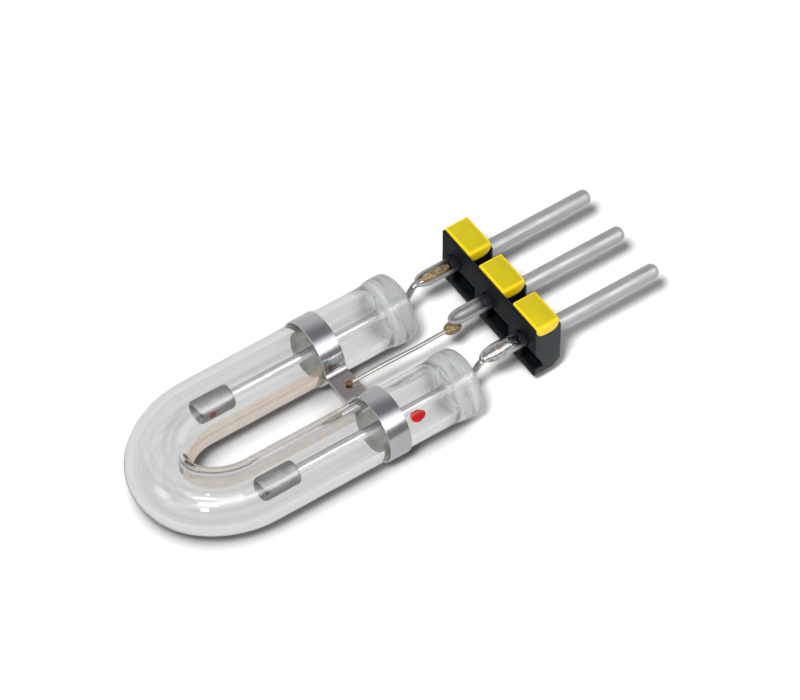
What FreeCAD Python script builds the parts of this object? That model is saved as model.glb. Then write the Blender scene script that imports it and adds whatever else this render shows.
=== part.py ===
import FreeCAD, Part
import math
import os

from FreeCAD import Vector

# A plug-in xenon flash tube: a U of glass tube soldered to a three-pin plug block, lying flat.
# Lengths are millimetres, angles are degrees.
# A station is a distance along the legs, from the bend's outermost face towards the pins.

# Glass tube
tube_diameter = 7.4
tube_wall = 1.0
leg_spacing = 12.5
bend_apex_radius = 5.1
bend_side_turn = 45.0
glass_length = 38.1

# Swollen seal at the open end of each leg
flare_swell = 0.25
flare_length = 3.6
flare_run = 1.6
rim_round = 0.9

# Glass bead that closes each leg round its rod
bead_setback = 0.45
bead_disc = 1.9
bead_hollow = 1.1
bead_neck_diameter = 2.1
bead_neck_length = 2.2
bead_nipple = 0.5
bead_nipple_slope = 0.35

# Electrodes
rod_diameter = 1.15
rod_stub = 0.5
rod_seat = 2.2
sleeve_diameter = 2.8
sleeve_length = 4.6
sleeve_station = 11.3
sleeve_round = 0.45
sleeve_cup_diameter = 1.7
sleeve_cup_depth = 0.9
crimp_radius = 0.7
crimp_depth = 0.3
rod_fit = 0.01

# Trigger band: one metal strip round both legs, pinched together between them
band_setback = 6.1
band_width = 2.7
band_thickness = 0.2
band_gap = 0.05
band_fillet = 0.9

# Conductive stripe on the side of the glass that faces into the U
stripe_angle = 50.0
stripe_thickness = 0.08
skin_gap = 0.02

# Red spot that marks the anode leg
dot_setback = 1.5
dot_radius = 0.85
dot_slope = 40.0
dot_thickness = 0.08

# Plug block
pin_pitch = 6.35
block_gap = 7.3
block_depth = 3.5
block_height = 7.5
block_chamfer = 0.9
back_wall_drop = 0.9
slot_depth = 2.6
pocket_width = 4.2
pocket_shift = 1.75
pocket_depth = 1.2
pocket_floor = 0.75
pocket_mouth = 3.05
pocket_back = 0.6

# Yellow terminal locks
lock_width = 2.95
lock_length = 4.55
lock_depth = 1.65
lock_rise = 0.2
lock_front_wall = 0.33
lock_round = 0.5
lock_heel_round = 1.1
lock_clearance = 0.03

# Contacts
pin_diameter = 1.8
pin_reach = 14.4
pin_tip_round = 0.75
pin_height = 1.2
pin_depth = 3.9
collar_diameter = 2.9
collar_thickness = 0.8
collar_setback = 1.2
shank_shoulder = 0.1
cup_diameter = 1.9
cup_wall = 0.3
cup_length = 5.2
cup_tip = 1.9
cup_back = 0.5
cup_rise = 0.7
cup_rim_height = 0.15
bore_clearance = 0.02

# Wires and solder
lead_diameter = 0.75
lead_straight = 0.35
lead_bend = 0.45
lead_run = 1.0
lead_seat = 3.0
wire_diameter = 0.48
wire_overlap = 1.1
wire_seat = 0.5
weld_radius = 0.42
fillet_solder_half = 2.2
fillet_solder_width = 0.7
fillet_solder_sink = 0.2
blob_solder_half = 2.6
blob_solder_width = 1.0
blob_solder_rise = 0.07
tip_solder_half = 1.1
tip_solder_width = 0.95

# Sizes that follow from those above
tube_radius = tube_diameter / 2
bore_radius = tube_radius - tube_wall
flare_radius = tube_radius + flare_swell
leg_offset = leg_spacing / 2
bend_side_radius = (
    (leg_offset - bend_apex_radius * math.cos(math.radians(bend_side_turn)))
    / (1 - math.cos(math.radians(bend_side_turn)))
)
bend_advance = (
    (bend_side_radius - bend_apex_radius) * math.sin(math.radians(bend_side_turn)) + bend_apex_radius
)
band_station = glass_length - flare_length - band_setback - band_width
dot_station = band_station + band_width + dot_setback
band_inner_radius = tube_radius + band_gap
band_outer_radius = band_inner_radius + band_thickness
axis_height = max(flare_radius, band_outer_radius)
block_station = glass_length + block_gap
block_top = pin_height + pin_depth
block_drop = block_height - block_top
pin_station = block_station + block_depth
overall_length = pin_station + pin_reach
cup_station = block_station - cup_length
rod_radius = rod_diameter / 2
bead_station = glass_length - bead_setback - bead_disc - bead_hollow - bead_neck_length

anode_side = -1
cathode_side = 1
contact_places = {"anode": anode_side, "trigger": 0, "cathode": cathode_side}
leg_places = {"anode": anode_side, "cathode": cathode_side}


# Frames and simple bodies

def place(station, y, height):
    """A point from its station, its y and its height over the tube's axis."""
    return Vector(station - overall_length / 2, y, axis_height + height)


def rod_along_x(station, y, height, length, radius):
    """A cylinder that starts at a station and runs towards the pins."""
    return Part.makeCylinder(radius, length, place(station, y, height), Vector(1, 0, 0))


def slab(station, y, height, length, width, tall):
    """A box centred on y, from a station and a height."""
    return Part.makeBox(length, width, tall, place(station, y - width / 2, height))


def turned(edges, y, height):
    """A solid turned round a line along X from edges in the plane through it."""
    face = Part.Face(Part.Wire(Part.__sortEdges__(edges)))
    return face.revolve(place(0, y, height), Vector(1, 0, 0), 360)


def rim_point(station, y, height, radius):
    """A point of a turned outline: its station and its distance from the line."""
    return place(station, y, height + radius)


def chain(points):
    """Straight edges through a row of points."""
    return [Part.LineSegment(a, b).toShape() for a, b in zip(points, points[1:])]


def s_curve(y, height, start, end):
    """Two equal tangent arcs that step from one radius to another, both ends along the axis."""
    run = end[0] - start[0]
    rise = end[1] - start[1]
    radius = (run * run + rise * rise) / (4 * abs(rise))
    turn = math.asin(run / 2 / radius)
    lead = radius * math.sin(turn / 2)
    lift = math.copysign(radius * (1 - math.cos(turn / 2)), rise)
    middle = ((start[0] + end[0]) / 2, (start[1] + end[1]) / 2)
    corners = [start, (start[0] + lead, start[1] + lift), middle,
               (end[0] - lead, end[1] - lift), end]
    a, b, c, d, e = [rim_point(s, y, height, r) for s, r in corners]
    return [Part.Arc(a, b, c).toShape(), Part.Arc(c, d, e).toShape()]


def rounded_path(points, radius):
    """A wire through points in one plane, with each corner rounded by a tangent arc."""
    edges = []
    start = points[0]
    for before, corner, after in zip(points, points[1:], points[2:]):
        arrive = (corner - before).normalize()
        leave = (after - corner).normalize()
        turn = arrive.getAngle(leave)
        trim = radius * math.tan(turn / 2)
        inward = (leave - arrive).normalize()
        middle = corner + inward * (radius / math.cos(turn / 2) - radius)
        entry = corner - arrive * trim
        out = corner + leave * trim
        edges.append(Part.LineSegment(start, entry).toShape())
        edges.append(Part.Arc(entry, middle, out).toShape())
        start = out
    edges.append(Part.LineSegment(start, points[-1]).toShape())
    return Part.Wire(edges)


def wire_solid(path, diameter):
    """A round wire swept along a path that starts along X."""
    start = path.OrderedVertexes[0].Point
    section = Part.Wire(Part.makeCircle(diameter / 2, start, Vector(1, 0, 0)))
    return path.makePipeShell([section], True, False)


# The line that the glass follows

def u_path(end_station):
    """The tube's centreline: a leg, a side arc, the crown arc, the other side arc and a leg."""
    side = math.radians(bend_side_turn)
    shoulder = tube_radius + bend_advance
    side_centre = leg_offset - bend_side_radius
    apex_centre = tube_radius + bend_apex_radius

    def side_point(angle, hand):
        station = shoulder - bend_side_radius * math.sin(angle)
        return place(station, hand * (side_centre + bend_side_radius * math.cos(angle)), 0)

    def apex_point(angle):
        station = apex_centre - bend_apex_radius * math.cos(angle)
        return place(station, bend_apex_radius * math.sin(angle), 0)

    crown = math.pi / 2 - side
    edges = [
        Part.LineSegment(place(end_station, leg_offset, 0), side_point(0, 1)).toShape(),
        Part.Arc(side_point(0, 1), side_point(side / 2, 1), side_point(side, 1)).toShape(),
        Part.Arc(apex_point(crown), apex_point(0), apex_point(-crown)).toShape(),
        Part.Arc(side_point(side, -1), side_point(side / 2, -1), side_point(0, -1)).toShape(),
        Part.LineSegment(side_point(0, -1), place(end_station, -leg_offset, 0)).toShape(),
    ]
    return Part.Wire(edges)


def u_sweep(section, end_station):
    """A section at the far leg's end, carried round the whole U."""
    return u_path(end_station).makePipeShell([section], True, False)


# Glass

def seal_end(y):
    """The swollen, round-lipped end of a leg, with the bore running through it."""
    start = glass_length - flare_length
    full = start + flare_run
    lip = glass_length - rim_round
    corner = rim_round * (1 - math.cos(math.radians(45)))
    edges = s_curve(y, 0, (start, tube_radius), (full, flare_radius))
    edges.append(Part.LineSegment(rim_point(full, y, 0, flare_radius),
                                  rim_point(lip, y, 0, flare_radius)).toShape())
    edges.append(Part.Arc(rim_point(lip, y, 0, flare_radius),
                          rim_point(glass_length - corner, y, 0, flare_radius - corner),
                          rim_point(glass_length, y, 0, flare_radius - rim_round)).toShape())
    edges += chain([rim_point(glass_length, y, 0, flare_radius - rim_round),
                    rim_point(glass_length, y, 0, bore_radius),
                    rim_point(start, y, 0, bore_radius),
                    rim_point(start, y, 0, tube_radius)])
    return turned(edges, y, 0)


def glass_envelope():
    """The U of tube with its two swollen ends."""
    end = glass_length - flare_length
    rings = [Part.Wire(Part.makeCircle(radius, place(end, leg_offset, 0), Vector(1, 0, 0)))
             for radius in (tube_radius, bore_radius)]
    glass = u_sweep(rings[0], end).cut(u_sweep(rings[1], end))
    for side in leg_places.values():
        glass = glass.fuse(seal_end(side * leg_offset))
    return glass.removeSplitter()


def seal_bead(y):
    """The glass bead fused round the rod: a neck along the rod, a disc in the bore, a nipple outside."""
    neck = bead_neck_diameter / 2
    disc_start = bead_station + bead_neck_length + bead_hollow
    disc_end = disc_start + bead_disc
    hole = rod_radius + rod_fit
    hollow_start = disc_start - bead_hollow
    slant = math.radians(45)
    middle = (hollow_start + bead_hollow * math.sin(slant),
              neck + (bore_radius - neck) * (1 - math.cos(slant)))
    edges = [Part.Arc(rim_point(hollow_start, y, 0, neck), rim_point(middle[0], y, 0, middle[1]),
                      rim_point(disc_start, y, 0, bore_radius)).toShape()]
    edges += chain([rim_point(disc_start, y, 0, bore_radius), rim_point(disc_end, y, 0, bore_radius),
                    rim_point(disc_end, y, 0, neck),
                    rim_point(disc_end + bead_nipple, y, 0, neck - bead_nipple_slope),
                    rim_point(disc_end + bead_nipple, y, 0, hole),
                    rim_point(bead_station, y, 0, hole),
                    rim_point(bead_station, y, 0, neck - bead_nipple_slope),
                    rim_point(bead_station + bead_nipple, y, 0, neck),
                    rim_point(hollow_start, y, 0, neck)])
    return turned(edges, y, 0)


# Electrodes

def electrode_rod(y):
    """The tungsten rod, from its seat in the sleeve out through the bead."""
    start = sleeve_station + sleeve_length - rod_seat
    return rod_along_x(start, y, 0, glass_length + rod_stub - start, rod_radius)


def electrode_sleeve(y):
    """The fat electrode head: rounded, cupped in front, crimped on the rod behind."""
    body = rod_along_x(sleeve_station, y, 0, sleeve_length, sleeve_diameter / 2)
    rims = [edge for edge in body.Edges if edge.Curve.TypeId == "Part::GeomCircle"]
    body = body.makeFillet(sleeve_round, rims)
    cup = rod_along_x(sleeve_station, y, 0, sleeve_cup_depth, sleeve_cup_diameter / 2)
    seat = rod_along_x(sleeve_station + sleeve_length - rod_seat, y, 0, rod_seat, rod_radius + rod_fit)
    body = body.cut(cup).cut(seat)
    crimp_station = sleeve_station + sleeve_length - rod_seat / 2
    for hand in (-1, 1):
        reach = sleeve_diameter / 2 + crimp_radius - crimp_depth
        body = body.cut(Part.makeSphere(crimp_radius, place(crimp_station, y + hand * reach, 0)))
    return body


# Trigger parts on the glass

def trigger_band():
    """One strip round both legs; its two runs are pinched flat against each other between them."""
    axes = [side * leg_offset for side in leg_places.values()]
    waist = 2 * (leg_offset - band_inner_radius)
    band = slab(band_station, 0, -band_thickness, band_width, waist, 2 * band_thickness)
    for y in axes:
        band = band.fuse(rod_along_x(band_station, y, 0, band_width, band_outer_radius))
    band = band.removeSplitter()
    corners = [edge for edge in band.Edges if concave_corner(edge)]
    band = band.makeFillet(band_fillet, corners)
    for y in axes:
        band = band.cut(rod_along_x(band_station, y, 0, band_width, band_inner_radius))
    return band


def concave_corner(edge):
    """True for a straight edge along the legs, where the pinched waist meets a ring."""
    first, last = edge.Vertexes[0].Point, edge.Vertexes[-1].Point
    along = abs(last.x - first.x) > band_width / 2
    off_axis = abs(abs(first.z - axis_height) - band_thickness) < band_thickness / 2
    inside = abs(first.y) < leg_offset
    return along and off_axis and inside


def trigger_stripe():
    """A thin skin on the inner side of the U, from ring to ring."""
    end = band_station - skin_gap
    inner = tube_radius + skin_gap
    outer = inner + stripe_thickness
    half = math.radians(stripe_angle / 2)

    def point(radius, angle):
        return place(end, leg_offset - radius * math.cos(angle), radius * math.sin(angle))

    section = Part.Wire([
        Part.Arc(point(outer, -half), point(outer, 0), point(outer, half)).toShape(),
        Part.LineSegment(point(outer, half), point(inner, half)).toShape(),
        Part.Arc(point(inner, half), point(inner, 0), point(inner, -half)).toShape(),
        Part.LineSegment(point(inner, -half), point(outer, -half)).toShape(),
    ])
    return u_sweep(section, end)


def polarity_dot():
    """A round dab of paint on the anode leg's upper outer side."""
    slope = math.radians(dot_slope)
    y = anode_side * leg_offset
    outward = Vector(0, anode_side * math.cos(slope), math.sin(slope))
    inner = tube_radius + skin_gap
    start = dot_station - 2 * dot_radius
    skin = rod_along_x(start, y, 0, 4 * dot_radius, inner + dot_thickness)
    skin = skin.cut(rod_along_x(start, y, 0, 4 * dot_radius, inner))
    return skin.common(Part.makeCylinder(dot_radius, 2 * inner, place(dot_station, y, 0), outward))


def trigger_wire():
    """The straight wire from the band's waist to under the middle contact's cup."""
    start = band_station + band_width - wire_overlap
    end = cup_station + wire_seat
    return rod_along_x(start, 0, wire_height(), end - start, wire_diameter / 2)


def wire_height():
    """The wire lies on top of the band's waist."""
    return band_thickness + wire_diameter / 2


def band_weld():
    """The nugget that holds the wire to the waist."""
    weld = Part.makeSphere(weld_radius, place(band_station + band_width - wire_overlap, 0, wire_height()))
    return weld.cut(trigger_wire()).cut(trigger_band())


# Contacts, leads and solder

def spoon(station, y, height, tip, length, radius):
    """A cylinder along X with half an ellipsoid for its tip."""
    shoulder = place(station + tip, y, height)
    point = shoulder - Vector(tip, 0, 0)
    back = point + Vector(length, 0, 0)
    rise = Vector(0, 0, radius)
    ellipse = Part.Ellipse(point, shoulder + rise, shoulder)
    edges = [Part.ArcOfEllipse(ellipse, 0, math.pi / 2).toShape()]
    return turned(edges + chain([shoulder + rise, back + rise, back, point]), y, height)


def cup_floor():
    """The height of a cup's inner floor."""
    return pin_height + cup_rise - cup_diameter / 2 + cup_wall


def contact(place_number, extra=0.0):
    """One contact: spoon-tipped solder cup, collar, square shank and round-nosed pin.

    The outer two have a notch in the tip that their lead passes through.
    A contact grown by extra makes its own bore in the block.
    """
    y = place_number * pin_pitch
    cup_height = pin_height + cup_rise
    collar_height = pin_height + cup_rise / 2
    collar_station = block_station + collar_setback
    cup_run = cup_length + collar_setback
    shank_start = collar_station + collar_thickness / 2
    cup = spoon(cup_station - extra, y, cup_height, cup_tip, cup_run, cup_diameter / 2 + extra)
    collar = rod_along_x(collar_station - extra, y, collar_height, collar_thickness + 2 * extra,
                         collar_diameter / 2 + extra)
    shank_side = pin_diameter + shank_shoulder + 2 * extra
    shank = slab(shank_start, y, pin_height - shank_side / 2, pin_station - shank_start,
                 shank_side, shank_side)
    pin = rod_along_x(pin_station - extra, y, pin_height, pin_reach + extra, pin_diameter / 2 + extra)
    if not extra:
        tip = [edge for edge in pin.Edges if edge.BoundBox.XMin > overall_length / 2 - pin_tip_round]
        pin = pin.makeFillet(pin_tip_round, tip)
        cup = cup.cut(spoon(cup_station + cup_wall, y, cup_height, cup_tip - cup_wall,
                            cup_length - cup_back - cup_wall, cup_diameter / 2 - cup_wall))
        cup = cup.cut(slab(cup_station, y, cup_height + cup_rim_height, cup_length,
                           cup_diameter, cup_diameter))
    if place_number:
        cup = cup.cut(slab(cup_station, y, cup_floor(), cup_tip, lead_diameter + 2 * bore_clearance,
                           cup_diameter))
    return cup.multiFuse([collar, shank, pin]).removeSplitter()


def lead(side):
    """The wire from the rod's stub up into its contact's cup, welded end to end with the stub."""
    y_rod = side * leg_offset
    y_cup = side * pin_pitch
    start = glass_length + rod_stub
    seat = cup_floor() + lead_diameter / 2 + bore_clearance
    points = [place(start, y_rod, 0), place(start + lead_straight, y_rod, 0),
              place(start + lead_straight + lead_run, y_cup, seat),
              place(cup_station + lead_seat, y_cup, seat)]
    return wire_solid(rounded_path(points, lead_bend), lead_diameter)


def solder_bead(station, y, height, half_length, half_width):
    """A drawn-out drop of solder: half an ellipse turned round its long axis, which lies along X."""
    middle = place(station, y, height)
    start = middle - Vector(half_length, 0, 0)
    end = middle + Vector(half_length, 0, 0)
    ellipse = Part.Ellipse(end, middle + Vector(0, 0, half_width), middle)
    edges = [Part.ArcOfEllipse(ellipse, 0, math.pi).toShape(), Part.LineSegment(start, end).toShape()]
    return turned(edges, y, height)


def solder_cathode():
    """Flux-stained solder that fills the cathode's cup round its lead."""
    height = pin_height + cup_rise - fillet_solder_sink
    drop = solder_bead(cup_station + cup_wall + fillet_solder_half, cathode_side * pin_pitch, height,
                       fillet_solder_half, fillet_solder_width)
    return drop.cut(contact(cathode_side)).cut(lead(cathode_side))


def solder_anode():
    """A heavier joint that runs over the rims of the anode's cup."""
    height = pin_height + cup_rise + blob_solder_rise
    drop = solder_bead(cup_station + fillet_solder_half, anode_side * pin_pitch, height,
                       blob_solder_half, blob_solder_width)
    return drop.cut(contact(anode_side)).cut(lead(anode_side))


def solder_trigger():
    """The joint under the middle cup's tip, round the end of the trigger wire."""
    drop = solder_bead(cup_station + wire_seat, 0, wire_height(), tip_solder_half, tip_solder_width)
    return drop.cut(contact(0)).cut(trigger_wire())


# Plug block and locks

def lock_outline(extra):
    """A lock's section across Y: flat top, upright sides, bottom with two large round corners."""
    half = lock_width / 2 + extra
    middle = block_station + lock_front_wall + lock_width / 2
    top = block_top + lock_rise
    bottom = top - lock_depth - extra
    round_radius = lock_heel_round + extra
    bow = round_radius * (1 - math.sqrt(0.5))
    y = -lock_length / 2

    def point(across, height):
        return place(middle + across, y, height)

    corners = [
        Part.Arc(point(side * half, bottom + round_radius), point(side * (half - bow), bottom + bow),
                 point(side * (half - round_radius), bottom)).toShape()
        for side in (-1, 1)
    ]
    heel = half - round_radius
    return Part.Wire([corners[0]] + chain([point(-heel, bottom), point(heel, bottom)]) + [corners[1]]
                     + chain([point(half, bottom + round_radius), point(half, top), point(-half, top),
                              point(-half, bottom + round_radius)]))


def terminal_lock(place_number):
    """A yellow bar that closes its contact's cavity from above, rounded off at one end."""
    lock = Part.Face(lock_outline(0)).extrude(Vector(0, lock_length, 0))
    top = axis_height + block_top + lock_rise
    nose = [edge for edge in lock.Edges
            if edge.BoundBox.ZMin > top - lock_round and edge.BoundBox.YMax < -lock_length / 2 + lock_round]
    lock = lock.makeFillet(lock_round, nose)
    lock.translate(Vector(0, place_number * pin_pitch, 0))
    return lock


def block_pocket(place_number):
    """A wedge-shaped coring pocket, low in the block's face beside a contact."""
    y = place_number * pin_pitch - pocket_shift
    floor = pocket_floor - block_drop
    points = [place(block_station, y - pocket_width / 2, floor),
              place(block_station + pocket_depth, y - pocket_width / 2, floor),
              place(block_station + pocket_depth, y - pocket_width / 2, floor + pocket_back),
              place(block_station, y - pocket_width / 2, floor + pocket_mouth)]
    outline = Part.makePolygon(points + points[:1])
    return Part.Face(outline).extrude(Vector(0, pocket_width, 0))


def plug_block():
    """The black moulding: a bar with three towers, lock channels, contact bores and pockets."""
    length = 2 * pin_pitch + lock_length - 2 * bore_clearance
    block = slab(block_station, 0, -block_drop, block_depth, length, block_height)
    heel = [edge for edge in block.Edges
            if edge.BoundBox.XMin > place(pin_station, 0, 0).x - block_chamfer
            and edge.BoundBox.ZMax < axis_height - block_drop + block_chamfer]
    block = block.makeChamfer(block_chamfer, heel)
    back_wall_station = block_station + lock_front_wall + lock_width
    block = block.cut(slab(back_wall_station, 0, block_top - back_wall_drop, block_depth, length,
                           back_wall_drop))
    slot_width = pin_pitch - lock_length
    slot_station = block_station + lock_front_wall
    for gap in (-0.5, 0.5):
        block = block.cut(slab(slot_station, gap * pin_pitch, block_top - slot_depth,
                               block_depth, slot_width, slot_depth))
    channel = Part.Face(lock_outline(lock_clearance)).extrude(Vector(0, lock_length + slot_width, 0))
    for number in contact_places.values():
        own_channel = channel.copy()
        own_channel.translate(Vector(0, number * pin_pitch - slot_width / 2, 0))
        block = block.cut(own_channel).cut(contact(number, bore_clearance)).cut(block_pocket(number))
    return block.removeSplitter()


# Writing the pieces

def pieces():
    """Every piece by its node name."""
    made = {
        "glass_envelope": glass_envelope(),
        "trigger_band": trigger_band(),
        "trigger_stripe": trigger_stripe(),
        "polarity_dot": polarity_dot(),
        "trigger_wire": trigger_wire(),
        "band_weld": band_weld(),
        "plug_block": plug_block(),
        "solder_anode": solder_anode(),
        "solder_trigger": solder_trigger(),
        "solder_cathode": solder_cathode(),
    }
    for name, side in leg_places.items():
        made["seal_bead_" + name] = seal_bead(side * leg_offset)
        made["rod_" + name] = electrode_rod(side * leg_offset)
        made["electrode_" + name] = electrode_sleeve(side * leg_offset)
        made["lead_" + name] = lead(side)
    for name, number in contact_places.items():
        made["contact_" + name] = contact(number)
        made["lock_" + name] = terminal_lock(number)
    return made


os.makedirs("parts", exist_ok=True)
for node, shape in pieces().items():
    shape.exportStep("parts/" + node + ".step")
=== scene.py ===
import math

import bmesh
import bpy
import numpy as np
from bpy.props import FloatProperty, FloatVectorProperty, PointerProperty
from bpy.types import Operator, Panel, PropertyGroup
from mathutils import Matrix, Vector


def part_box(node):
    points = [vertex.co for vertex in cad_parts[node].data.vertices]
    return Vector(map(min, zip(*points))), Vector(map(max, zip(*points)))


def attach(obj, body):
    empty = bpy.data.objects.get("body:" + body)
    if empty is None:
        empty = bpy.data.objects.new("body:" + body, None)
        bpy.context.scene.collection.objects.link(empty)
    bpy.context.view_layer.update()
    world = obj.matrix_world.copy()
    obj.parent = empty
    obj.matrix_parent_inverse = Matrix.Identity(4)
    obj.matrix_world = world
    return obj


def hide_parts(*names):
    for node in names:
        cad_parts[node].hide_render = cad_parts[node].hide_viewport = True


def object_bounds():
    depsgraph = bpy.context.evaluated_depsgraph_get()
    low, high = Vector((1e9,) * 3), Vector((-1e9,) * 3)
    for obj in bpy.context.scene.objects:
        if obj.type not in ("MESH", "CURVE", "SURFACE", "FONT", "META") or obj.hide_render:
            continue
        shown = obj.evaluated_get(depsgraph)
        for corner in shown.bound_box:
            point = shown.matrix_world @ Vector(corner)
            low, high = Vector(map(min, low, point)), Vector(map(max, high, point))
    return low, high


bl_info = {
    "name": "Xenon flash tube",
    "version": (1, 0, 0),
    "blender": (4, 5, 0),
    "location": "3D View > Sidebar > Flash tube",
    "description": "Glass, metal, solder and moulded plastic for a plug-in flash tube",
    "category": "Object",
}

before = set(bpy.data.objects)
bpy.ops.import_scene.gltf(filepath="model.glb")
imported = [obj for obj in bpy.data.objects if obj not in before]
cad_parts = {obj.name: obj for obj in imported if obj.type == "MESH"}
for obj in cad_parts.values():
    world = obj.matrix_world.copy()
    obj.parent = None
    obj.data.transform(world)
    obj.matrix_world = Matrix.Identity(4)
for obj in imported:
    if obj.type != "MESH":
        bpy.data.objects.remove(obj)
cad_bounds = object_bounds()

# Places read from the frame, in metres

MM = 0.001


def middle(name):
    """The centre of a node's box."""
    low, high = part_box(name)
    return (low + high) / 2


def extent(name, axis):
    """A node's lowest and highest coordinate on one axis."""
    low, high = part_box(name)
    return low[axis], high[axis]


SIDES = {"anode": -1, "cathode": 1}
PLACES = {"anode": -1, "trigger": 0, "cathode": 1}
TUBE_Z = middle("rod_anode").z
LEG_Y = abs(middle("rod_anode").y)
PITCH = abs(middle("contact_anode").y)
FRONT_X = cad_bounds[0][0]
GLASS_END_X = extent("rod_anode", 0)[1] - 0.5 * MM
BAND_X = extent("trigger_band", 0)
BLOCK_X = extent("plug_block", 0)
PIN_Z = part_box("contact_anode")[0].z + 1.10 * MM

# Shared by the glass's mesh and its material

DRAWN = ("drawn_out", "drawn_up", "drawn_run")
GLASS_IOR = 1.47


# Sizes and colours that a user would change

def length(name, description, default):
    """A length property in metres."""
    return FloatProperty(name=name, description=description, default=default, min=0.0,
                         unit="LENGTH", subtype="DISTANCE", precision=5)


def angle_in_degrees(name, description, default):
    """An angle property, whose default is given in degrees."""
    return FloatProperty(name=name, description=description, default=math.radians(default),
                         subtype="ANGLE")


def colour(name, description, default):
    """A colour property."""
    return FloatVectorProperty(name=name, description=description, default=default, size=3,
                               min=0.0, max=1.0, subtype="COLOR")


class GlassSizes(PropertyGroup):
    """Sizes of the bent tube and its sealed ends."""
    tube_radius: length("Tube radius", "Outer radius of the glass tube", 3.7 * MM)
    bore_radius: length("Bore radius", "Inner radius of the glass tube", 2.7 * MM)
    crown_radius: length("Crown radius", "Centreline radius at the top of the bend", 5.1 * MM)
    side_turn: angle_in_degrees("Side turn", "Turn of each side arc of the bend", 45)
    swell: length("Swelling", "Rise of the swollen end over the tube", 0.25 * MM)
    swell_length: length("Swelling length", "Length of the swollen end", 3.6 * MM)
    swell_run: length("Swelling run", "Length over which the tube swells", 1.6 * MM)
    lip_round: length("Lip rounding", "Radius of the fire-polished lip", 0.9 * MM)
    bead_setback: length("Bead setback", "Depth of the bead's face behind the lip", 0.45 * MM)
    bead_disc: length("Bead thickness", "Solid glass behind the bead's face", 1.9 * MM)
    bead_hollow: length("Bead hollow", "Depth of the bead's dished inner face", 0.35 * MM)
    bead_neck: length("Bead neck radius", "Radius of the glass sleeve on the rod", 0.78 * MM)
    bead_neck_length: length("Bead neck length", "Length of the glass sleeve on the rod", 0.7 * MM)


class MetalSizes(PropertyGroup):
    """Sizes of the electrodes, band, wires and contacts."""
    rod_radius: length("Rod radius", "Radius of the tungsten rods", 0.575 * MM)
    sleeve_radius: length("Electrode radius", "Radius of the electrode heads", 1.4 * MM)
    band_thickness: length("Band thickness", "Thickness of the trigger band's strip", 0.2 * MM)
    band_fillet: length("Band fillet", "Radius where a ring runs into the waist", 0.9 * MM)
    wire_radius: length("Wire radius", "Radius of the trigger wire", 0.24 * MM)
    lead_radius: length("Lead radius", "Radius of the leads at the sealed ends", 0.375 * MM)
    pin_radius: length("Pin radius", "Radius of the plug pins", 0.9 * MM)
    cup_radius: length("Cup radius", "Outer radius of the solder cups", 0.95 * MM)
    cup_wall: length("Cup wall", "Wall of the solder cups", 0.3 * MM)


class Colours(PropertyGroup):
    """Colours of the finishes."""
    glass: colour("Glass", "Tint of the glass", (0.970, 0.978, 0.978))
    stripe: colour("Conductive stripe", "Peach tint of the coating", (0.98, 0.86, 0.77))
    spot: colour("Red spot", "Paint of the polarity spot", (0.40, 0.006, 0.005))
    block: colour("Block", "Black moulding of the plug block", (0.006, 0.009, 0.011))
    lock: colour("Locks", "Yellow moulding of the locks", (0.46, 0.37, 0.006))
    pin: colour("Pins", "Tinned contacts", (0.62, 0.62, 0.62))
    flux: colour("Flux", "Stain of burnt flux", (0.12, 0.06, 0.015))


class StageSettings(PropertyGroup):
    """Camera, light and floor."""
    azimuth: angle_in_degrees("Azimuth", "Camera's turn about the vertical", -34.662)
    elevation: angle_in_degrees("Elevation", "Camera's height over the horizon", 51.292)
    distance: length("Camera distance", "From the aimed point to the camera", 785.2 * MM)
    lens: FloatProperty(name="Lens", description="Focal length in millimetres", default=328.8)
    aim_right: length("Aim right", "How far the aimed point lies right of the middle", 1.735 * MM)
    aim_up: length("Aim up", "How far the aimed point lies over the middle", 1.848 * MM)
    key_power: FloatProperty(name="Key light", description="Power of the key lamp", default=12.7,
                             unit="POWER")
    floor_size: length("Floor size", "Half side of the floor", 3.0)


GROUPS = {"glass": GlassSizes, "metal": MetalSizes, "colours": Colours, "stage": StageSettings}


def settings(*kinds):
    """This scene's sizes or colours of the given kinds."""
    return [getattr(bpy.context.scene, "flash_" + kind) for kind in kinds]


# Mesh helpers

ALONG, ACROSS, UP = np.eye(3)[:, None]      # one row each, which spreads over any number of rings


def stacked(*values):
    """The values spread to one shape and laid side by side on a new last axis."""
    return np.stack(np.broadcast_arrays(*values), axis=-1)


def unit(vectors):
    """The vectors at a length of one."""
    return vectors / np.linalg.norm(vectors, axis=-1, keepdims=True)


def full_turn(count):
    """The angles of count points spread round a circle."""
    return np.linspace(0, 2 * math.pi, count, endpoint=False)


def circle(angle):
    """Points of the unit circle."""
    return stacked(np.cos(angle), np.sin(angle))


def new_object(name, data):
    """An object in the scene."""
    made = bpy.data.objects.new(name, data)
    bpy.context.scene.collection.objects.link(made)
    return made


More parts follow.
